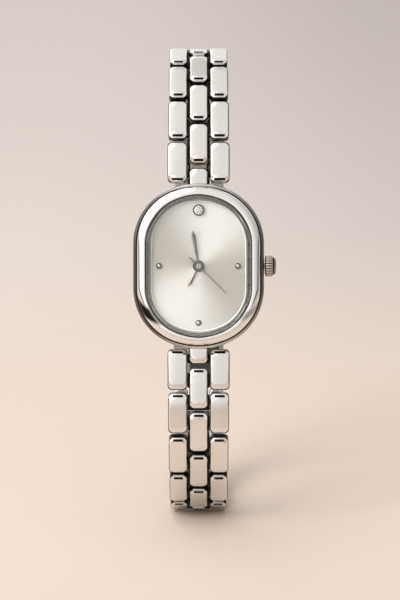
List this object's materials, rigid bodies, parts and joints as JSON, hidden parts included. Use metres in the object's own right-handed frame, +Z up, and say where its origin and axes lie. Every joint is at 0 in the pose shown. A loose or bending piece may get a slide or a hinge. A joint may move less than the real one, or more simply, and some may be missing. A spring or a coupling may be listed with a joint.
{
  "type": "oval wristwatch",
  "caption": "Oval wristwatch with a silver dial and a steel link bracelet, closed and standing on its bracelet loop.",
  "frame": {"origin": "on the table, under the middle of the whole watch in width (crown included) and depth", "axes": "+X towards the crown, -Y the way the dial looks, +Z up"},
  "size_m": [0.023, 0.0407, 0.0756],
  "materials": {
    "polished_steel": "polished stainless steel",
    "bezel_steel": "mirror-polished stainless steel",
    "link_steel": "polished stainless steel",
    "pin_steel": "plain stainless steel",
    "crystal_glass": "clear mineral glass",
    "stone": "faceted clear stone",
    "dial_silver": "silvered brass with a sunray brush",
    "dial_bright": "bright plated metal",
    "hand_grey": "dark grey plated brass",
    "gasket_rubber": "black nitrile rubber",
    "wheel_brass": "machined brass",
    "plate_metal": "nickel-plated brass plate",
    "holder_plastic": "moulded plastic ring",
    "coil_copper": "enamelled copper winding"
  },
  "bodies": {
    "case": {"case_middle": "polished_steel", "bezel": "bezel_steel", "crystal": "crystal_glass", "crystal_gasket": "gasket_rubber", "dial_ring": "dial_bright", "dial": "dial_silver", "ball_markers": "dial_bright", "stone_collar": "dial_bright", "dial_stone": "stone", "movement_plate": "plate_metal", "movement_holder": "holder_plastic", "battery": "pin_steel", "coil": "coil_copper", "case_back": "polished_steel", "back_gasket": "gasket_rubber"},
    "minute": {"minute_hand": "hand_grey", "cannon_pinion": "wheel_brass"},
    "hour": {"hour_hand": "hand_grey", "hour_wheel": "wheel_brass"},
    "seconds": {"seconds_hand": "hand_grey"},
    "minute_wheel": {"minute_wheel": "wheel_brass"},
    "stem": {"winding_stem": "pin_steel"},
    "crown": {"crown": "polished_steel"},
    "upper_01_outer_links": {"upper_01_outer_links": "link_steel"},
    "upper_02_centre_link": {"upper_02_centre_link": "link_steel"},
    "upper_03_outer_links": {"upper_03_outer_links": "link_steel"},
    "upper_04_centre_link": {"upper_04_centre_link": "link_steel"},
    "upper_05_outer_links": {"upper_05_outer_links": "link_steel"},
    "upper_06_centre_link": {"upper_06_centre_link": "link_steel"},
    "upper_07_outer_links": {"upper_07_outer_links": "link_steel"},
    "upper_08_centre_link": {"upper_08_centre_link": "link_steel"},
    "upper_09_outer_links": {"upper_09_outer_links": "link_steel"},
    "upper_10_centre_link": {"upper_10_centre_link": "link_steel"},
    "upper_11_outer_links": {"upper_11_outer_links": "link_steel"},
    "upper_12_centre_link": {"upper_12_centre_link": "link_steel"},
    "upper_13_outer_links": {"upper_13_outer_links": "link_steel"},
    "upper_14_centre_link": {"upper_14_centre_link": "link_steel"},
    "upper_15_outer_links": {"upper_15_outer_links": "link_steel"},
    "upper_16_centre_link": {"upper_16_centre_link": "link_steel"},
    "upper_17_outer_links": {"upper_17_outer_links": "link_steel"},
    "lower_01_outer_links": {"lower_01_outer_links": "link_steel"},
    "lower_02_centre_link": {"lower_02_centre_link": "link_steel"},
    "lower_03_outer_links": {"lower_03_outer_links": "link_steel"},
    "lower_04_centre_link": {"lower_04_centre_link": "link_steel"},
    "lower_05_outer_links": {"lower_05_outer_links": "link_steel"},
    "lower_06_centre_link": {"lower_06_centre_link": "link_steel"},
    "lower_07_outer_links": {"lower_07_outer_links": "link_steel"},
    "lower_08_centre_link": {"lower_08_centre_link": "link_steel"},
    "lower_09_outer_links": {"lower_09_outer_links": "link_steel"},
    "lower_10_centre_link": {"lower_10_centre_link": "link_steel"},
    "lower_11_outer_links": {"lower_11_outer_links": "link_steel"},
    "lower_12_centre_link": {"lower_12_centre_link": "link_steel"},
    "lower_13_outer_links": {"lower_13_outer_links": "link_steel"},
    "lower_14_centre_link": {"lower_14_centre_link": "link_steel"},
    "lower_15_outer_links": {"lower_15_outer_links": "link_steel"},
    "lower_16_centre_link": {"lower_16_centre_link": "link_steel"},
    "lower_17_outer_links": {"lower_17_outer_links": "link_steel"},
    "clasp_base": {"clasp_base": "link_steel", "clasp_pin": "pin_steel"},
    "clasp_cover": {"clasp_cover": "link_steel"}
  },
  "joints": [
    {"name": "upper_pin_01", "type": "hinge", "parent": "case", "child": "upper_01_outer_links", "pos_m": [-0.00097, -0.0106, 0.05767], "axis": [1, 0, 0], "range_deg": [0, 15]},
    {"name": "upper_pin_02", "type": "hinge", "parent": "upper_01_outer_links", "child": "upper_02_centre_link", "pos_m": [-0.00097, -0.00934, 0.06093], "axis": [1, 0, 0], "range_deg": [0, 10]},
    {"name": "upper_pin_03", "type": "hinge", "parent": "upper_02_centre_link", "child": "upper_03_outer_links", "pos_m": [-0.00097, -0.00787, 0.06411], "axis": [1, 0, 0], "range_deg": [0, 14]},
    {"name": "upper_pin_04", "type": "hinge", "parent": "upper_03_outer_links", "child": "upper_04_centre_link", "pos_m": [-0.00097, -0.00596, 0.06704], "axis": [1, 0, 0], "range_deg": [0, 12]},
    {"name": "upper_pin_05", "type": "hinge", "parent": "upper_04_centre_link", "child": "upper_05_outer_links", "pos_m": [-0.00097, -0.00376, 0.06976], "axis": [1, 0, 0], "range_deg": [0, 17]},
    {"name": "upper_pin_06", "type": "hinge", "parent": "upper_05_outer_links", "child": "upper_06_centre_link", "pos_m": [-0.00097, -0.00108, 0.07201], "axis": [1, 0, 0], "range_deg": [0, 17]},
    {"name": "upper_pin_07", "type": "hinge", "parent": "upper_06_centre_link", "child": "upper_07_outer_links", "pos_m": [-0.00097, 0.00198, 0.07371], "axis": [1, 0, 0], "range_deg": [0, 22]},
    {"name": "upper_pin_08", "type": "hinge", "parent": "upper_07_outer_links", "child": "upper_08_centre_link", "pos_m": [-0.00097, 0.0054, 0.0745], "axis": [1, 0, 0], "range_deg": [0, 23]},
    {"name": "upper_pin_09", "type": "hinge", "parent": "upper_08_centre_link", "child": "upper_09_outer_links", "pos_m": [-0.00097, 0.00889, 0.07425], "axis": [1, 0, 0], "range_deg": [0, 23]},
    {"name": "upper_pin_10", "type": "hinge", "parent": "upper_09_outer_links", "child": "upper_10_centre_link", "pos_m": [-0.00097, 0.01215, 0.073], "axis": [1, 0, 0], "range_deg": [0, 23]},
    {"name": "upper_pin_11", "type": "hinge", "parent": "upper_10_centre_link", "child": "upper_11_outer_links", "pos_m": [-0.00097, 0.01491, 0.07084], "axis": [1, 0, 0], "range_deg": [0, 22]},
    {"name": "upper_pin_12", "type": "hinge", "parent": "upper_11_outer_links", "child": "upper_12_centre_link", "pos_m": [-0.00097, 0.01697, 0.06801], "axis": [1, 0, 0], "range_deg": [0, 20]},
    {"name": "upper_pin_13", "type": "hinge", "parent": "upper_12_centre_link", "child": "upper_13_outer_links", "pos_m": [-0.00097, 0.01828, 0.06477], "axis": [1, 0, 0], "range_deg": [0, 18]},
    {"name": "upper_pin_14", "type": "hinge", "parent": "upper_13_outer_links", "child": "upper_14_centre_link", "pos_m": [-0.00097, 0.01889, 0.06132], "axis": [1, 0, 0], "range_deg": [0, 15]},
    {"name": "upper_pin_15", "type": "hinge", "parent": "upper_14_centre_link", "child": "upper_15_outer_links", "pos_m": [-0.00097, 0.01895, 0.05782], "axis": [1, 0, 0], "range_deg": [0, 12]},
    {"name": "upper_pin_16", "type": "hinge", "parent": "upper_15_outer_links", "child": "upper_16_centre_link", "pos_m": [-0.00097, 0.01864, 0.05433], "axis": [1, 0, 0], "range_deg": [0, 10]},
    {"name": "upper_pin_17", "type": "hinge", "parent": "upper_16_centre_link", "child": "upper_17_outer_links", "pos_m": [-0.00097, 0.0181, 0.05088], "axis": [1, 0, 0], "range_deg": [0, 9]},
    {"name": "lower_pin_01", "type": "hinge", "parent": "case", "child": "lower_01_outer_links", "pos_m": [-0.00097, -0.0168, 0.02852], "axis": [-1, 0, 0], "range_deg": [0, 8]},
    {"name": "lower_pin_02", "type": "hinge", "parent": "lower_01_outer_links", "child": "lower_02_centre_link", "pos_m": [-0.00097, -0.0174, 0.02507], "axis": [-1, 0, 0], "range_deg": [0, 6]},
    {"name": "lower_pin_03", "type": "hinge", "parent": "lower_02_centre_link", "child": "lower_03_outer_links", "pos_m": [-0.00097, -0.01801, 0.02162], "axis": [-1, 0, 0], "range_deg": [0, 11]},
    {"name": "lower_pin_04", "type": "hinge", "parent": "lower_03_outer_links", "child": "lower_04_centre_link", "pos_m": [-0.00097, -0.01832, 0.01814], "axis": [-1, 0, 0], "range_deg": [0, 14]},
    {"name": "lower_pin_05", "type": "hinge", "parent": "lower_04_centre_link", "child": "lower_05_outer_links", "pos_m": [-0.00097, -0.01813, 0.01464], "axis": [-1, 0, 0], "range_deg": [0, 18]},
    {"name": "lower_pin_06", "type": "hinge", "parent": "lower_05_outer_links", "child": "lower_06_centre_link", "pos_m": [-0.00097, -0.01723, 0.01126], "axis": [-1, 0, 0], "range_deg": [0, 16]},
    {"name": "lower_pin_07", "type": "hinge", "parent": "lower_06_centre_link", "child": "lower_07_outer_links", "pos_m": [-0.00097, -0.01575, 0.00809], "axis": [-1, 0, 0], "range_deg": [0, 17]},
    {"name": "lower_pin_08", "type": "hinge", "parent": "lower_07_outer_links", "child": "lower_08_centre_link", "pos_m": [-0.00097, -0.01369, 0.00526], "axis": [-1, 0, 0], "range_deg": [0, 19]},
    {"name": "lower_pin_09", "type": "hinge", "parent": "lower_08_centre_link", "child": "lower_09_outer_links", "pos_m": [-0.00097, -0.01105, 0.00296], "axis": [-1, 0, 0], "range_deg": [0, 23]},
    {"name": "lower_pin_10", "type": "hinge", "parent": "lower_09_outer_links", "child": "lower_10_centre_link", "pos_m": [-0.00097, -0.00785, 0.00154], "axis": [-1, 0, 0], "range_deg": [0, 23]},
    {"name": "lower_pin_11", "type": "hinge", "parent": "lower_10_centre_link", "child": "lower_11_outer_links", "pos_m": [-0.00097, -0.00438, 0.00111], "axis": [-1, 0, 0], "range_deg": [0, 12]},
    {"name": "lower_pin_12", "type": "hinge", "parent": "lower_11_outer_links", "child": "lower_12_centre_link", "pos_m": [-0.00097, -0.00088, 0.00105], "axis": [-1, 0, 0], "range_deg": [0, 12]},
    {"name": "lower_pin_13", "type": "hinge", "parent": "lower_12_centre_link", "child": "lower_13_outer_links", "pos_m": [-0.00097, 0.00261, 0.00136], "axis": [-1, 0, 0], "range_deg": [0, 23]},
    {"name": "lower_pin_14", "type": "hinge", "parent": "lower_13_outer_links", "child": "lower_14_centre_link", "pos_m": [-0.00097, 0.00585, 0.00267], "axis": [-1, 0, 0], "range_deg": [0, 23]},
    {"name": "lower_pin_15", "type": "hinge", "parent": "lower_14_centre_link", "child": "lower_15_outer_links", "pos_m": [-0.00097, 0.00857, 0.00487], "axis": [-1, 0, 0], "range_deg": [0, 22]},
    {"name": "lower_pin_16", "type": "hinge", "parent": "lower_15_outer_links", "child": "lower_16_centre_link", "pos_m": [-0.00097, 0.01058, 0.00774], "axis": [-1, 0, 0], "range_deg": [0, 18]},
    {"name": "lower_pin_17", "type": "hinge", "parent": "lower_16_centre_link", "child": "lower_17_outer_links", "pos_m": [-0.00097, 0.01195, 0.01096], "axis": [-1, 0, 0], "range_deg": [0, 14]},
    {"name": "upper_pin_18", "type": "hinge", "parent": "upper_17_outer_links", "child": "clasp_base", "pos_m": [-0.00097, 0.01737, 0.04745], "axis": [1, 0, 0], "range_deg": [0, 8]},
    {"name": "clasp_cover_hinge", "type": "hinge", "parent": "clasp_base", "child": "clasp_cover", "pos_m": [-0.00097, 0.01696, 0.04448], "axis": [1, 0, 0], "range_deg": [0, 105]},
    {"name": "minute_spin", "type": "hinge", "parent": "case", "child": "minute", "pos_m": [-0.00097, -0.01624, 0.04363], "axis": [0, 0.9781, -0.2079], "continuous": true},
    {"name": "hour_spin", "type": "hinge", "parent": "case", "child": "hour", "pos_m": [-0.00097, -0.01624, 0.04363], "axis": [0, 0.9781, -0.2079], "continuous": true},
    {"name": "seconds_spin", "type": "hinge", "parent": "case", "child": "seconds", "pos_m": [-0.00097, -0.01624, 0.04363], "axis": [0, 0.9781, -0.2079], "continuous": true},
    {"name": "minute_wheel_spin", "type": "hinge", "parent": "case", "child": "minute_wheel", "pos_m": [-0.00097, -0.01574, 0.04598], "axis": [0, 0.9781, -0.2079], "continuous": true},
    {"name": "crown_pull", "type": "slide", "parent": "case", "child": "stem", "axis": [1, 0, 0], "range_m": [0, 0.0008]},
    {"name": "crown_turn", "type": "hinge", "parent": "stem", "child": "crown", "pos_m": [0.00953, -0.01404, 0.04317], "axis": [1, 0, 0], "continuous": true}
  ],
  "couplings": [
    {"joint": "hour_spin", "follows": "minute_spin", "ratio": 0.083333},
    {"joint": "minute_wheel_spin", "follows": "minute_spin", "ratio": -0.33333},
    {"joint": "seconds_spin", "follows": "minute_spin", "ratio": 60}
  ]
}
